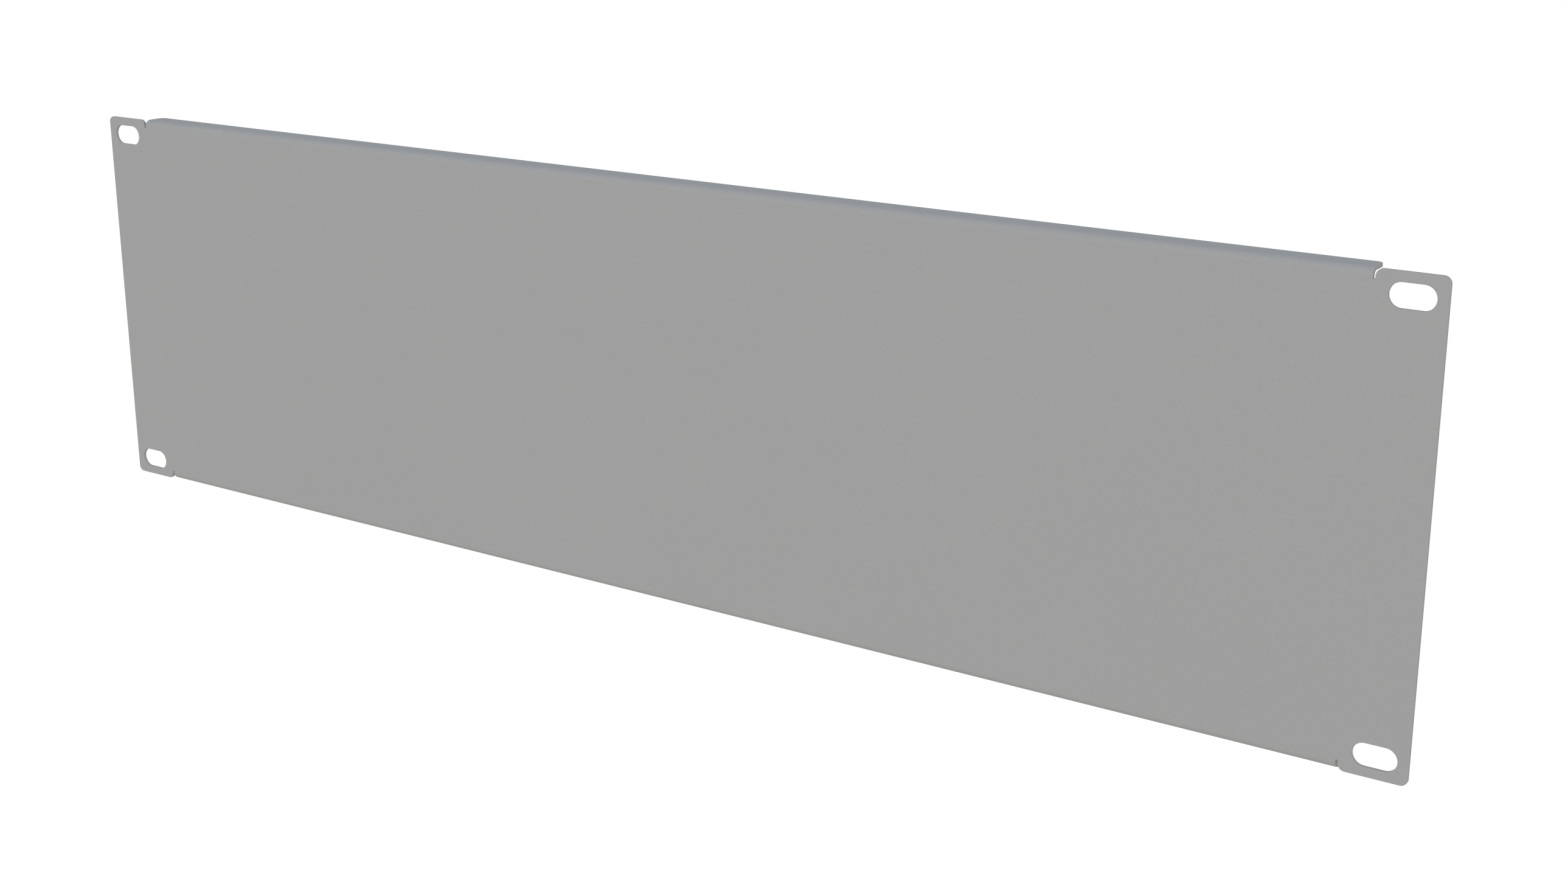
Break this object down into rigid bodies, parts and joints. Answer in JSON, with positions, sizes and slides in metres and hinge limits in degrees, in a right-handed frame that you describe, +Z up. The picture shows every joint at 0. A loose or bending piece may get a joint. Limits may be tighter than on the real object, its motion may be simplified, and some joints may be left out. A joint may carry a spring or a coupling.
{
  "type": "rack blanking panel",
  "caption": "Flat panel of folded sheet steel that closes an empty space in a 19-inch rack, with slotted ears and shallow top and bottom flanges.",
  "frame": {"origin": "centre of the four slots, on the rear face of the ears, which is the face that seats on the rack's rails", "axes": "+X along the panel, to the right as seen from the front; +Y back into the rack, away from the painted front face; +Z up"},
  "size_m": [0.483, 0.008, 0.132],
  "materials": {
    "panel_paint": "satin"
  },
  "bodies": {
    "root": {"blanking_panel": "panel_paint"}
  },
  "joints": []
}
